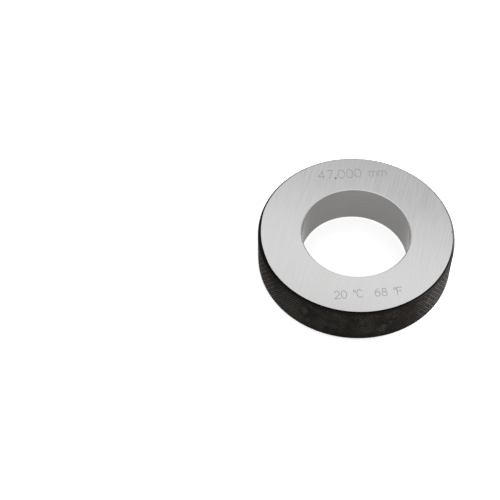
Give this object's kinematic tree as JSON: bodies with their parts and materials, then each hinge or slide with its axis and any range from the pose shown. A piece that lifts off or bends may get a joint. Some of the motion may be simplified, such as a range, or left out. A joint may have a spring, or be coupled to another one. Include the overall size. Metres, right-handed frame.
{
  "type": "plain ring gauge",
  "caption": "Plain setting ring gauge: a flat steel ring with a lapped cylindrical bore, ground faces, chamfered edges and a blackened, diamond knurled rim.",
  "frame": {"origin": "on the axis of the bore, in the plane of the underside face", "axes": "+Z along the bore's axis, from the plain underside face towards the marked face; X and Y lie in the underside face"},
  "size_m": [0.085, 0.085, 0.02],
  "materials": {
    "gauge_steel": "fine ground faces, a lapped bore and a blackened knurled rim"
  },
  "bodies": {
    "root": {"gauge_ring": "gauge_steel"}
  },
  "joints": []
}
